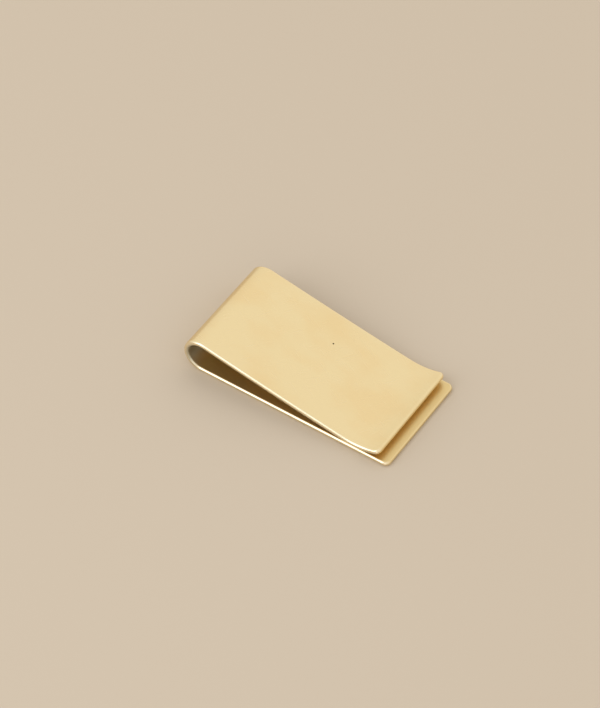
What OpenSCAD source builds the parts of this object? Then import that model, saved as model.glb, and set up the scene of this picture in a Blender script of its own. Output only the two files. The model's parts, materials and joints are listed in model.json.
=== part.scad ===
// Folded brass money clip, made from one strip: a flat back leaf, a round sprung bend,
// a sloping, slightly dished front leaf and a flared lip at the mouth.
// The strip is drawn as four zones that meet face to face, each in a node of its own.
// Origin: middle of the face that the clip lies on. +X runs from the bend to the mouth, +Z up.

/* [Strip] */
// Width of the strip
strip_w = 25.4; // [15:0.1:40]
// Thickness of the strip
strip_t = 1.1; // [0.8:0.1:1.5]
// Length from the outside of the bend to the end of the back leaf
clip_l = 50; // [45:0.1:60]
// Plan radius of the rounded corners at the ends of both leaves
corner_r = 1.3; // [0.5:0.1:5]

/* [Bend] */
// Outside radius of the bend
bend_r = 4.35; // [3.5:0.05:6]

/* [Front leaf] */
// Radius to which the front leaf is dished along its length
dish_r = 1000; // [700:50:3000]

/* [Lip] */
// Distance from the outside of the bend to the line where the leaves grip
grip_x = 41.5; // [36:0.1:43]
// Gap between the leaves at that line
grip_gap = 0.1; // [0.1:0.05:0.3]
// Radius of the lip's curve, measured on its top face
lip_r = 14; // [12:0.5:30]
// How far the back leaf reaches past the end of the lip
overhang = 2; // [0:0.1:3]

/* [Hidden] */

BRASS = [0.86, 0.73, 0.47];
FACETS = 96;
DISH_FACETS = 2400;
// Cutters run this far past what they cut
EXTRA = 1;
// The corner curves stand this far proud of the sides and the end, so that they cross those
// faces at an angle instead of only touching them
PROUD = 0.02;

half_l = clip_l / 2;
// Middle of the bend, seen from the side
bend_x = bend_r - half_l;
bend_z = bend_r;
// Middle of the lip's curve, which lies above the strip: its underside stays one gap clear
lip_x = grip_x - half_l;
lip_z = lip_r + 2 * strip_t + grip_gap;
// Middle of the front leaf's curve, high above the strip. The leaf runs on smoothly from the
// bend and into the lip, so this point is bend_r + dish_r from the middle of the bend and
// dish_r - lip_r from the middle of the lip's curve.
span = norm([lip_x - bend_x, lip_z - bend_z]);
span_angle = atan2(lip_z - bend_z, lip_x - bend_x);
to_bend = bend_r + dish_r;
to_lip = dish_r - lip_r;
bend_corner = acos((to_bend * to_bend + span * span - to_lip * to_lip) / (2 * to_bend * span));
dish_x = bend_x + to_bend * cos(span_angle + bend_corner);
dish_z = bend_z + to_bend * sin(span_angle + bend_corner);
// Slopes of the front leaf at the bend and at the lip, in degrees below level
bend_slope = atan2(dish_x - bend_x, dish_z - bend_z);
lip_slope = atan2(dish_x - lip_x, dish_z - lip_z);
// Where the lip ends, and the angle by which it has turned up there
lip_end = half_l - overhang;
lip_rise = asin((lip_end - lip_x) / (lip_r + strip_t));

// A curved stretch of the strip: a ring sector about an axis along Y through the origin.
// It starts at the angle start, measured from +X towards +Z, and turns by the angle turn.
module curved_strip(inner_r, start, turn, facets = FACETS) {
    rotate([90, 0, 0])
        rotate([0, 0, start])
            rotate_extrude(angle = turn, $fn = facets)
                translate([inner_r, -strip_w / 2])
                    square([strip_t, strip_w]);
}

// What is cut away outside the two rounded corners of a strip that ends at x = 0, from above
module corner_waste() {
    for (side = [0, 1])
        mirror([0, side])
            translate([PROUD - corner_r, PROUD + strip_w / 2 - corner_r])
                difference() {
                    square(corner_r + EXTRA);
                    circle(r = corner_r, $fn = FACETS);
                }
}

// Flat leaf that the clip lies on, which goes behind the notes
module back_leaf() {
    color(BRASS)
        difference() {
            translate([bend_x, -strip_w / 2, 0])
                cube([clip_l - bend_r, strip_w, strip_t]);
            translate([half_l, 0, -EXTRA])
                linear_extrude(height = strip_t + 2 * EXTRA)
                    corner_waste();
        }
}

// Round bend at the closed end: the spring of the clip
module spring_bend() {
    color(BRASS)
        translate([bend_x, 0, bend_z])
            curved_strip(bend_r - strip_t, 90 - bend_slope, 180 + bend_slope);
}

// Sloping leaf that presses the notes down
module front_leaf() {
    color(BRASS)
        translate([dish_x, 0, dish_z])
            curved_strip(dish_r, -90 - bend_slope, bend_slope - lip_slope, DISH_FACETS);
}

// Lip that turns up at the mouth, so that notes slide in under it
module flared_lip() {
    color(BRASS)
        difference() {
            translate([lip_x, 0, lip_z])
                curved_strip(lip_r, -90 - lip_slope, lip_slope + lip_rise);
            translate([lip_end, 0, 0])
                linear_extrude(height = lip_z)
                    corner_waste();
        }
}

back_leaf();
spring_bend();
front_leaf();
flared_lip();
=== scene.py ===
# %% [markdown]
# # A folded brass money clip
#
# The real clip is one strip of solid brass and nothing else. A press stamps a flat blank with
# rounded corners, a tumbler rounds and polishes its edges, and a tool folds it: a flat back leaf,
# a round bend that is the spring, a sloping front leaf, and a lip that turns up at the mouth.
#
# This lesson makes it the same way. First comes the flat blank, as points with a length, a width
# and a thickness. Then one formula folds those points along the side profile. That keeps the
# thickness even and the edges round all along the strip, which a bevel on a folded box would not.

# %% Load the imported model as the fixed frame
import json
import math

import bpy
import numpy as np
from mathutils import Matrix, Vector


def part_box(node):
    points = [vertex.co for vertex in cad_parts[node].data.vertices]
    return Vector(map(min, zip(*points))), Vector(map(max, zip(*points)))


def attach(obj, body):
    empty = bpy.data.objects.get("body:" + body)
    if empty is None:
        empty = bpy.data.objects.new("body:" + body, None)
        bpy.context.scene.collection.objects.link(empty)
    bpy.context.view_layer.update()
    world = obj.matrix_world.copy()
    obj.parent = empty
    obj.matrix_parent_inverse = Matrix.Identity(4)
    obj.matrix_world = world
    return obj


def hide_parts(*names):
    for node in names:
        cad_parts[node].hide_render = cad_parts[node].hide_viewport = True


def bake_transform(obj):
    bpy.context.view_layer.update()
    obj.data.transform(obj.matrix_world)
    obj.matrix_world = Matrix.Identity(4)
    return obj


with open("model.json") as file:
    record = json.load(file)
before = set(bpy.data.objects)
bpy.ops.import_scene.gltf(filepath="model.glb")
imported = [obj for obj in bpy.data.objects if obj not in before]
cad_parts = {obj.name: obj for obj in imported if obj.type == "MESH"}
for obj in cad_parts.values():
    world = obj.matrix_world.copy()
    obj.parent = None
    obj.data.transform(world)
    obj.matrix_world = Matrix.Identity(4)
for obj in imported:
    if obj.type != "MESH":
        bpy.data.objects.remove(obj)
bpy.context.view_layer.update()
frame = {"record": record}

MM = 0.001

# %% [markdown]
# ## The strip's sizes
#
# The frame already says how wide and thick the strip is and where it bends, so the sizes are read
# from it. Only the two gentle radii of the front leaf can't be read from a box, so they are named
# here: the leaf is very slightly dished along its length, and the lip has a tighter curve.

# %% Read the sizes from the frame
back_low, back_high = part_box("back_leaf")
bend_low, bend_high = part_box("spring_bend")
lip_low, lip_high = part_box("flared_lip")
mouth = next(m for m in frame["record"]["mounts"] if m["name"] == "mouth")

strip_w = back_high.y - back_low.y
strip_t = back_high.z - back_low.z
bend_r = (bend_high.z - bend_low.z) / 2
clip_end = back_high.x
lip_end = lip_high.x
grip_x = mouth["pos_m"][0]
grip_gap = lip_low.z - strip_t

# Inner radii of the leaf's slight dish and of the lip, radius of the blank's corners, and how far
# the rounding of an edge reaches in from it.
DISH_R = 1000 * MM
LIP_R = 14 * MM
CORNER_R = 1.3 * MM
EDGE_DEPTH = 0.5 * MM

print(f"strip {strip_w / MM:.1f} x {strip_t / MM:.2f} mm, bend radius {bend_r / MM:.2f} mm")

# %% [markdown]
# ## The side profile
#
# Seen from the side, the strip is a line whose direction turns at a known rate: not at all along
# the back leaf, fast round the bend, very slowly back along the dished leaf, and a little faster
# in the lip. Adding up that rate gives the direction at every point, and adding up the direction
# gives the place. Sheet metal never starts to bend at a sharp line, so each change of rate is
# spread over a short length, which also keeps the reflections free of creases.

# %% Work out where the stretches meet
# The dish touches the bend and the lip without a corner, so its middle is one corner of a
# triangle whose other two corners are the middles of the bend and of the lip.
bend_middle = np.array([bend_low.x + bend_r, bend_r])
lip_middle = np.array([grip_x, LIP_R + 2 * strip_t + grip_gap])
apart = np.linalg.norm(lip_middle - bend_middle)
to_bend, to_lip = bend_r + DISH_R, DISH_R - LIP_R
at_bend = math.acos((to_bend**2 + apart**2 - to_lip**2) / (2 * to_bend * apart))
to_dish = math.atan2(*(lip_middle - bend_middle)[::-1]) + at_bend
dish_middle = bend_middle + to_bend * np.array([math.cos(to_dish), math.sin(to_dish)])
bend_slope = math.atan2(*(dish_middle - bend_middle))
lip_slope = math.atan2(*(dish_middle - lip_middle))
lip_rise = math.asin((lip_end - grip_x) / (LIP_R + strip_t))
print("slopes in degrees:",
      [round(math.degrees(a), 2) for a in (bend_slope, lip_slope, lip_rise)])

# %% Turn rates of the strip's middle line, from the back leaf's end to the lip's end
half_t = strip_t / 2
RATES = [0, -1 / (bend_r - half_t), 1 / (DISH_R + half_t), 1 / (LIP_R + half_t)]
TURNS = [0, -(math.pi + bend_slope), bend_slope - lip_slope, lip_slope + lip_rise]
lengths = [clip_end - bend_middle[0]] + [turn / rate for turn, rate in zip(TURNS[1:], RATES[1:])]
meets = np.cumsum(lengths)
strip_l = meets[-1]
EASING = [1.2 * MM, 1.2 * MM, 2.4 * MM]
print("stretches in mm:", [round(length / MM, 2) for length in lengths])

# %% Ease each change of rate and add the rates up
STEPS = 12000


def smooth(x):
    """0 before 0, 1 after 1, and an even S between."""
    x = np.clip(x, 0, 1)
    return x * x * (3 - 2 * x)


walk = np.linspace(0, strip_l, STEPS)
rate = np.zeros(STEPS)
for before, after, meet, ease in zip(RATES, RATES[1:], meets, EASING):
    rate += (after - before) * smooth((walk - meet) / ease + 0.5)
step = walk[1] - walk[0]


def running_sum(values):
    """Area under values up to each step, by the trapezium rule."""
    return np.concatenate([[0], np.cumsum((values[1:] + values[:-1]) / 2)]) * step


heading = math.pi + running_sum(rate)
walk_x = clip_end + running_sum(np.cos(heading))
walk_z = half_t + running_sum(np.sin(heading))
print(f"blank {strip_l / MM:.1f} mm long, lip ends at x {walk_x[-1] / MM:.2f} mm")


def fold(blank):
    """Folds points (length, width, thickness) of the flat blank along the side profile."""
    along, across, out = np.asarray(blank).T[:3]
    turn = np.interp(along, walk, heading)
    x = np.interp(along, walk, walk_x) - out * np.sin(turn)
    z = np.interp(along, walk, walk_z) + out * np.cos(turn)
    return np.column_stack([x, across, z])


# %% [markdown]
# ## The blank
#
# The blank is built from closed rings, one for each station along its length. A ring runs across
# the outside face, round one edge, back across the inside face and round the other edge. The
# edges are half ellipses, because tumbling wears them almost fully round. At the two ends the
# rings fan round the corners, and a last patch of quads wraps the end edge. Extra points sit just
# inside each edge, so that the flat faces stay flat right up to where the rounding starts.

# %% Points of one ring
EDGE_STEPS = 16
FACE_STEPS = 20
FLAT_SHARE = 0.985

edge_angles = np.linspace(0, math.pi, EDGE_STEPS + 1)
flat_shares = np.linspace(-FLAT_SHARE, FLAT_SHARE, FACE_STEPS - 1)
face_shares = np.concatenate([[-1], flat_shares, [1]])


def ring(along, fan=0.0, end=None):
    """Blank points round the strip, each with its polish as a fourth number.

    At a rounded end, fan is the angle that the ring has turned round the corner, and end is the
    length at which the blank ends.
    """
    towards = 0 if end is None else (1 if end > strip_l / 2 else -1)
    reach = CORNER_R - EDGE_DEPTH + EDGE_DEPTH * np.sin(edge_angles)
    middle = strip_w / 2 - CORNER_R
    if towards:
        edge_along = end + towards * (reach * math.sin(fan) - CORNER_R)
    else:
        edge_along = np.full(len(reach), along)
    edge_across = middle + reach * math.cos(fan)
    edge_out = half_t * np.cos(edge_angles)
    face_across = face_shares * edge_across[0]
    face = np.full(len(face_across), edge_along[0])
    outside = np.column_stack([face, face_across, np.full(len(face), half_t)])
    right = np.column_stack([edge_along, edge_across, edge_out])[1:-1]
    inside = (outside * [1, 1, -1])[::-1]
    left = (right * [1, -1, 1])[::-1]
    # The polish of an edge point. It lowers the edge's roughness, and it also paints the edge
    # paler, as a painted highlight.
    bright = np.sqrt(np.sin(edge_angles[1:-1])) * math.cos(fan)
    dull = np.zeros(len(face))
    polish = np.concatenate([dull, bright, dull, bright[::-1]])
    return np.column_stack([np.concatenate([outside, right, inside, left]), polish])


FAN_STEPS = 14
fans = np.linspace(0, math.pi / 2, FAN_STEPS + 1)
print("points in a ring:", len(ring(0.0)))

# %% [markdown]
# Stations lie close together where the strip curves and far apart where it is straight. The three
# cuts between the pieces lie just outside the eased stretches, on metal that is straight or
# evenly curved, so the pieces join without a visible seam.

# %% Stations along the strip
cut_low = meets[0] - EASING[0] / 2
cut_high = meets[1] + EASING[1] / 2
cut_lip = meets[2] - EASING[2] / 2
first_flat, last_flat = CORNER_R, strip_l - CORNER_R
BACK_GAP, BEND_GAP, FRONT_GAP, LIP_GAP = 1.5 * MM, 0.12 * MM, 1.0 * MM, 0.25 * MM


def spread(start, stop, gap):
    """Evenly spaced lengths from start to stop, at most gap apart."""
    return np.linspace(start, stop, math.ceil((stop - start) / gap) + 1)


back_rings = [ring(0, fan, 0.0) for fan in fans[::-1]]
back_rings += [ring(s) for s in spread(first_flat, cut_low, BACK_GAP)[1:]]
bend_rings = [ring(s) for s in spread(cut_low, cut_high, BEND_GAP)]
front_rings = [ring(s) for s in spread(cut_high, cut_lip, FRONT_GAP)]
lip_rings = [ring(s) for s in spread(cut_lip, last_flat, LIP_GAP)]
lip_rings += [ring(0, fan, strip_l) for fan in fans[1:]]
print("rings:", [len(r) for r in (back_rings, bend_rings, front_rings, lip_rings)])

# %% [markdown]
# ## The four pieces
#
# Each piece is a closed mesh: quads between its rings, and a lid at each end. A lid between two
# pieces is a flat face hidden inside the metal. The lid at a free end is the patch that wraps the
# end edge. The edges of the hidden lids are marked sharp, so that the smooth shading of the sides
# takes nothing from them and no dark line shows where two pieces meet.
#
# Two attributes travel with every point. `blank` holds its place on the flat blank, so that the
# grain follows the strip round the bend, as a rolled sheet's grain does. `polish_and_highlight` is
# its polish: none on the faces and the end edges, and full in the middle of a long edge, which
# tumbling reaches best. It makes the edges smoother, and it also paints them a paler colour: a
# painted highlight.

# %% Close a free end
FACE_POINTS = len(face_shares)
RING_POINTS = len(ring(0.0))
right_first = FACE_POINTS
inside_first = FACE_POINTS + EDGE_STEPS - 1
left_first = inside_first + FACE_POINTS


def wrap_end(points, faces, first, outward):
    """Closes a free end with a patch that wraps its rounded edge. first is the number of the end
    ring's first point, and outward is -1 at the start of the blank and 1 at its end."""
    end_at = points[first:first + RING_POINTS]
    grid = np.zeros((EDGE_STEPS + 1, FACE_POINTS), int)
    grid[0] = first + np.arange(FACE_POINTS)
    grid[-1] = first + inside_first + np.arange(FACE_POINTS)[::-1]
    grid[1:-1, -1] = first + right_first + np.arange(EDGE_STEPS - 1)
    grid[1:-1, 0] = first + left_first + np.arange(EDGE_STEPS - 1)[::-1]
    flat_along = end_at[0][0]
    for row in range(1, EDGE_STEPS):
        turn = edge_angles[row]
        for col in range(1, FACE_POINTS - 1):
            grid[row, col] = len(points)
            along = flat_along + outward * EDGE_DEPTH * math.sin(turn)
            points.append(np.array([along, end_at[col][1], half_t * math.cos(turn), 0]))
    for row in range(EDGE_STEPS):
        for col in range(FACE_POINTS - 1):
            quad = [grid[row, col], grid[row, col + 1], grid[row + 1, col + 1], grid[row + 1, col]]
            faces.append([int(i) for i in (quad[::-1] if outward > 0 else quad)])


# %% Build each piece from its rings


def build_piece(name, rings, free_start=False, free_end=False):
    """A closed mesh through the rings, folded along the profile."""
    points = [p for r in rings for p in r]
    faces = []
    for i in range(len(rings) - 1):
        a, b = i * RING_POINTS, (i + 1) * RING_POINTS
        for j in range(RING_POINTS):
            k = (j + 1) % RING_POINTS
            faces.append([a + j, b + j, b + k, a + k])
    last = (len(rings) - 1) * RING_POINTS
    lids = []
    if free_start:
        wrap_end(points, faces, 0, -1)
    else:
        lids.append(list(range(RING_POINTS)))
    if free_end:
        wrap_end(points, faces, last, 1)
    else:
        lids.append([last + j for j in range(RING_POINTS)][::-1])
    blank = np.array(points)
    mesh = bpy.data.meshes.new(name)
    mesh.from_pydata(fold(blank).tolist(), [], faces + lids)
    mesh.polygons.foreach_set("use_smooth", [True] * len(faces) + [False] * len(lids))
    lid_edges = {key for face in list(mesh.polygons)[len(faces):] for key in face.edge_keys}
    mesh.edges.foreach_set("use_edge_sharp", [edge.key in lid_edges for edge in mesh.edges])
    mesh.attributes.new("blank", "FLOAT_VECTOR", "POINT").data.foreach_set(
        "vector", blank[:, :3].ravel())
    mesh.attributes.new("polish_and_highlight", "FLOAT", "POINT").data.foreach_set("value", blank[:, 3].copy())
    mesh.validate()
    mesh.update()
    piece = bpy.data.objects.new(name, mesh)
    bpy.context.scene.collection.objects.link(piece)
    print(f"{name}: {len(points)} points, {len(faces) + len(lids)} faces")
    return piece


back_piece = build_piece("back_leaf_strip", back_rings, free_start=True)
bend_piece = build_piece("spring_bend_strip", bend_rings)
front_piece = build_piece("front_leaf_strip", front_rings)
lip_piece = build_piece("flared_lip_strip", lip_rings, free_end=True)

# %% [markdown]
# ## The finish
# The real clip is bare brass, with no lacquer and no plating. The sheet is rolled, brushed along
# its length and softly polished, and handling leaves the faces an even satin. Two finishes come
# from one material: satin faces and bright, tumbled edges, whose paler colour is a painted
# highlight. One material is enough, because the polish that every point carries says how much of
# each it has.
#
# Colours are written as the hex codes that a colour picker shows, and one function turns them
# into the linear values that Blender works in. A second function adds a node with its settings
# and links, so that each step of the finish below reads as one line.

# %% Colours and nodes


def colour(code):
    """An sRGB hex code as linear red, green, blue and alpha."""
    parts = [int(code[i:i + 2], 16) / 255 for i in (1, 3, 5)]
    return [c / 12.92 if c <= 0.04045 else ((c + 0.055) / 1.055) ** 2.4 for c in parts] + [1.0]


def add(tree, kind, settings=None, **inputs):
    """Adds a node with its settings. Each input is a value or another node's output, and a pair
    in a list fills two inputs that share a name."""
    node = tree.nodes.new(kind)
    for name, value in (settings or {}).items():
        setattr(node, name, value)
    for name, given in inputs.items():
        label = name.replace("_", " ")
        sockets = [s for s in node.inputs if s.name == label and not s.is_unavailable]
        paired = isinstance(given, list) and len(sockets) > 1
        for socket, value in zip(sockets, given if paired else [given]):
            if isinstance(value, bpy.types.NodeSocket):
                tree.links.new(value, socket)
            else:
                socket.default_value = value
    return node


def new_material(name):
    """An empty material and its Principled shader, linked to the output."""
    material = bpy.data.materials.new(name)
    material.use_nodes = True
    tree = material.node_tree
    tree.nodes.clear()
    shader = add(tree, "ShaderNodeBsdfPrincipled")
    add(tree, "ShaderNodeOutputMaterial", Surface=shader.outputs["BSDF"])
    return material, tree, shader


print("half-way grey in linear light:", round(colour("#808080")[0], 3))

# %% [markdown]
# ## Satin brass
#
# The metal is yellow brass, about 70 parts of copper to 30 of zinc. A metal's colour is the colour
# of its reflections, so it is fully metallic, with the default IOR and a pale, warm yellow base.
# Brushed and softly polished sheet has a roughness of about 0.25. It smears the room into an even
# glow, with no clear image in it. The tumbled edges are smoother, and catch the thin bright line
# that tells the eye how thick the sheet is. Their paler colour is a painted highlight that makes
# that line whiter.
#
# All the marks are laid out on the flat blank, in real millimetres, before the fold:
#
# - The rolled grain runs along the strip. Its real lines are a few hundredths of a millimetre
#   apart. They are drawn a quarter of a millimetre apart, as finer ones wouldn't show.
# - Handling leaves soft patches about 7 mm wide, a shade warmer, where fingers push the clip on.
# - Scuffs about 2.5 mm wide change the gloss a little, and hairline scratches cross them. A real
#   hairline is about 0.02 mm wide. It is drawn 0.14 mm wide so that it shows.
# - One dark pit a quarter of a millimetre wide sits near the middle of the front leaf.
# - A polishing wheel doesn't reach the inside, so the metal is rougher there. Its colour is
#   painted darker and warmer there, as painted shade for the dim inside of the clip.
# - In the inner half of the tight fold, a pale grey is painted on rougher metal. It is a painted
#   reflection of the window, which the hollow of the fold shows as a silvery glint.

# %% Satin brass: where a point lies on the blank
brass, tree, shader = new_material("satin_brass")
blank_m = add(tree, "ShaderNodeAttribute", {"attribute_name": "blank"}).outputs["Vector"]
blank_mm = add(tree, "ShaderNodeVectorMath", {"operation": "SCALE"}, Vector=blank_m,
               Scale=1 / MM).outputs["Vector"]
place = add(tree, "ShaderNodeSeparateXYZ", Vector=blank_mm)
polish_and_highlight = add(tree, "ShaderNodeAttribute", {"attribute_name": "polish_and_highlight"}).outputs["Fac"]

# %% Satin brass: the marks, as soft noise
# Each row is the width of a mark in mm, how many times longer it is along the strip, how much
# fine detail it has, and how far it is turned from the strip in degrees.
MARKS = {
    "handling": (7.0, 1.6, 3.0, 0),
    "scuffs": (2.5, 2.0, 2.0, 0),
    "grain": (0.25, 60, 2.0, 0),
    "scratches": (0.14, 45, 2.0, 23),
    "cross_scratches": (0.14, 45, 2.0, -58),
}
# The noise changes fast through the sheet, so that its two faces don't share their marks.
THROUGH = 20

marks = {}
for name, (width_mm, longer, detail, turned) in MARKS.items():
    facing = add(tree, "ShaderNodeVectorRotate", {"rotation_type": "Z_AXIS"}, Vector=blank_mm,
                 Angle=math.radians(turned)).outputs["Vector"]
    per_mark = (1 / (width_mm * longer), 1 / width_mm, THROUGH / width_mm)
    stretched = add(tree, "ShaderNodeVectorMath", {"operation": "MULTIPLY"},
                    Vector=[facing, per_mark]).outputs["Vector"]
    marks[name] = add(tree, "ShaderNodeTexNoise", Vector=stretched, Scale=1.0,
                      Detail=detail).outputs["Fac"]
print("marks:", sorted(marks))

# %% Satin brass: how far each point is from the pit and from the middle of the fold, in mm
PIT_ALONG, PIT_ACROSS = 78.5, 5.4
fold_middle = (meets[0] + meets[1]) / 2 / MM

from_pit = add(tree, "ShaderNodeVectorMath", {"operation": "DISTANCE"},
               Vector=[blank_mm, (PIT_ALONG, PIT_ACROSS, half_t / MM)]).outputs["Value"]
from_fold = add(tree, "ShaderNodeMath", {"operation": "SUBTRACT"},
                Value=[place.outputs["X"], fold_middle]).outputs["Value"]
from_fold = add(tree, "ShaderNodeMath", {"operation": "ABSOLUTE"},
                Value=from_fold).outputs["Value"]

# %% Satin brass: how much of each layer a point has, from none to all
# Each row is what is measured, where the layer starts and where it is full. A mark's noise runs
# from 0 to 1. The height through the sheet, and the distances, are in mm.
LAYER_RANGES = {
    "handling": (marks["handling"], 0.42, 0.66),
    "scuffs": (marks["scuffs"], 0.35, 0.70),
    "scratches": (marks["scratches"], 0.70, 0.78),
    "cross_scratches": (marks["cross_scratches"], 0.70, 0.78),
    # The inside face of the sheet. Its darker, warmer colour below is painted shade.
    "inside": (place.outputs["Z"], -0.30, -0.52),
    "inner_half": (place.outputs["Z"], 0.15, -0.35),
    "fold": (from_fold, 6.0, 2.5),
    "pit": (from_pit, 0.24, 0.12),
}
layers = {name: add(tree, "ShaderNodeMapRange", Value=value, From_Min=start,
                    From_Max=full).outputs["Result"]
          for name, (value, start, full) in LAYER_RANGES.items()}
# Painted reflection of the window: the inner half of the sheet near the middle of the fold.
layers["painted_fold_reflection"] = add(tree, "ShaderNodeMath", {"operation": "MULTIPLY"},
                     Value=[layers["fold"], layers["inner_half"]]).outputs["Value"]
layers["polish_and_highlight"] = polish_and_highlight
print("layers:", sorted(layers))

# %% Satin brass: colour and roughness, one layer over another
# Each row is a layer and the colour and roughness that it gives where it is full. None leaves
# what lies under it. Scuffs and scratches only change the gloss, and handling only the colour.
CLEAN_COLOUR, CLEAN_ROUGHNESS = "#F2DEAC", 0.245
FINISHES = (
    ("scuffs", None, 0.27),
    ("handling", "#F1D9A4", None),
    ("scratches", None, 0.36),
    ("cross_scratches", None, 0.36),
    # The inside: the higher roughness is the unpolished metal, and the darker, warmer colour is
    # painted shade.
    ("inside", "#E8CF95", 0.38),
    # The edges: the lower roughness is real polish, and the paler colour is a painted highlight.
    ("polish_and_highlight", "#F7E9C8", 0.13),
    # A pale grey painted in the fold. It is a painted reflection of the window.
    ("painted_fold_reflection", "#D2CCB6", 0.50),
    ("pit", "#54452C", 0.60),
)
metal, rough = colour(CLEAN_COLOUR), CLEAN_ROUGHNESS
for name, layer_colour, layer_rough in FINISHES:
    if layer_colour:
        metal = add(tree, "ShaderNodeMix", {"data_type": "RGBA"}, Factor=layers[name], A=metal,
                    B=colour(layer_colour)).outputs["Result"]
    if layer_rough:
        rough = add(tree, "ShaderNodeMix", Factor=layers[name], A=rough,
                    B=layer_rough).outputs["Result"]
tree.links.new(metal, shader.inputs["Base Color"])
tree.links.new(rough, shader.inputs["Roughness"])
shader.inputs["Metallic"].default_value = 1.0

# %% Satin brass: the grain stands a few microns high
GRAIN_HEIGHT, GRAIN_STRENGTH = 0.01 * MM, 0.25
bump = add(tree, "ShaderNodeBump", Strength=GRAIN_STRENGTH, Distance=GRAIN_HEIGHT,
           Height=marks["grain"])
tree.links.new(bump.outputs["Normal"], shader.inputs["Normal"])

for piece in (back_piece, bend_piece, front_piece, lip_piece):
    piece.data.materials.append(brass)
print("brass nodes:", len(tree.nodes))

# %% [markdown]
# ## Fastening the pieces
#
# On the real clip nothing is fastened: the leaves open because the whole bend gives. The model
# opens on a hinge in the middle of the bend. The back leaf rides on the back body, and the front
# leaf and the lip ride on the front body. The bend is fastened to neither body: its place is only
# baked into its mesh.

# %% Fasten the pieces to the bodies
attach(back_piece, "back")
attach(front_piece, "front")
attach(lip_piece, "front")

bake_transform(bend_piece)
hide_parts("back_leaf")
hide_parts("spring_bend")
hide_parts("front_leaf")
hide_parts("flared_lip")

# %% [markdown]
# ## The floor
#
# The clip lies on a plain sheet of pale, matt paper. Paper is rough and scatters light evenly, so
# it lights the underside of the metal and takes the soft shadow that shows the clip lies flat. It
# is large enough that its edge is never seen.

# %% Lay the paper
FLOOR_REACH = 3.0
PAPER_COLOUR, PAPER_ROUGHNESS = "#CDBFAA", 0.9

sides = ((-1, -1), (1, -1), (1, 1), (-1, 1))
floor_corners = [(x * FLOOR_REACH, y * FLOOR_REACH, 0) for x, y in sides]
floor_mesh = bpy.data.meshes.new("floor")
floor_mesh.from_pydata(floor_corners, [], [(0, 1, 2, 3)])
floor = bpy.data.objects.new("floor", floor_mesh)
bpy.context.scene.collection.objects.link(floor)

paper, paper_tree, paper_shader = new_material("pale_paper")
paper_shader.inputs["Base Color"].default_value = colour(PAPER_COLOUR)
paper_shader.inputs["Roughness"].default_value = PAPER_ROUGHNESS
floor_mesh.materials.append(paper)
print("floor:", 2 * FLOOR_REACH, "m across")

# %% [markdown]
# ## The light
#
# Satin metal looks like whatever stands round it, so the light is made to be reflected. The room
# is a bright, soft dome, warm near the floor and almost white overhead, which gives the broad
# even glow on the leaf. Two windows stand on the near side. From the camera the faces of the
# leaves hardly show them, but the rounded edges do, and turn them into a thin white line.
#
# Brass this pale is nearly as bright as white paper. The standard view shows such colours as they
# are, while the filmic one would grey them.

# %% The room
# Colours at the floor and overhead. The upper one is reached at this height on a dome whose top
# is at 1.
ROOM_LOW, ROOM_HIGH = "#F1EBE3", "#FAF6F3"
ROOM_TOP = 0.85

bpy.context.scene.view_settings.view_transform = "Standard"
room = bpy.data.worlds.new("room")
bpy.context.scene.world = room
room.use_nodes = True
sky = room.node_tree
direction = add(sky, "ShaderNodeSeparateXYZ",
                Vector=add(sky, "ShaderNodeTexCoord").outputs["Generated"])
height = add(sky, "ShaderNodeMapRange", From_Max=ROOM_TOP, Value=direction.outputs["Z"])
walls = add(sky, "ShaderNodeMix", {"data_type": "RGBA"}, Factor=height.outputs["Result"],
            A=colour(ROOM_LOW), B=colour(ROOM_HIGH))
sky.links.new(walls.outputs["Result"], sky.nodes["Background"].inputs["Color"])
print("room:", ROOM_LOW, "to", ROOM_HIGH)

# %% The two windows
# Each row is the place of the window's middle and its width and height, in metres, and its
# radiance.
WINDOWS = {
    "tall_window": ((-0.32, -0.50, 0.36), (0.50, 0.74), 1.1),
    "low_window": ((0.30, -0.62, 0.13), (0.40, 0.24), 0.6),
}
DAYLIGHT = (0.93, 1.0, 1.13)

for name, (middle, (width, tall), radiance) in WINDOWS.items():
    lamp = bpy.data.lights.new(name, "AREA")
    lamp.shape = "RECTANGLE"
    lamp.size, lamp.size_y = width, tall
    # A flat lamp that sends the same radiance to all sides gives pi times its area in watts.
    lamp.energy = radiance * math.pi * width * tall
    lamp.color = DAYLIGHT
    window = bpy.data.objects.new(name, lamp)
    window.location = middle
    window.rotation_euler = Vector(middle).to_track_quat("Z", "Y").to_euler()
    bpy.context.scene.collection.objects.link(window)
    print(f"{name}: {lamp.energy:.2f} W")

# %% [markdown]
# ## The camera
#
# A small object is looked at from above and to one side, so that the leaf, the near edges and the
# dark gap all show. The lens is long and stands two thirds of a metre away, because close to a
# small object a short lens makes its near end look too wide.

# %% The camera
AZIMUTH, ELEVATION = math.radians(33.78), math.radians(49.53)
DISTANCE = 662.8 * MM
LENS, SENSOR = 162.8, 36
AIM_FROM_BEND, AIM_ACROSS = 18.52 * MM, 2.76 * MM
NEAR, FAR = 0.05, 20

aim_at = Vector((bend_low.x + AIM_FROM_BEND, AIM_ACROSS, 0))
away = Vector((math.sin(AZIMUTH) * math.cos(ELEVATION), -math.cos(AZIMUTH) * math.cos(ELEVATION),
               math.sin(ELEVATION)))
camera_data = bpy.data.cameras.new("camera")
camera_data.lens, camera_data.sensor_width = LENS, SENSOR
camera_data.clip_start, camera_data.clip_end = NEAR, FAR
camera = bpy.data.objects.new("camera", camera_data)
camera.location = aim_at + away * DISTANCE
camera.rotation_mode = "QUATERNION"
camera.rotation_quaternion = away.to_track_quat("Z", "Y")
bpy.context.scene.collection.objects.link(camera)
bpy.context.scene.camera = camera
print("camera at", [round(c, 3) for c in camera.location], "m")
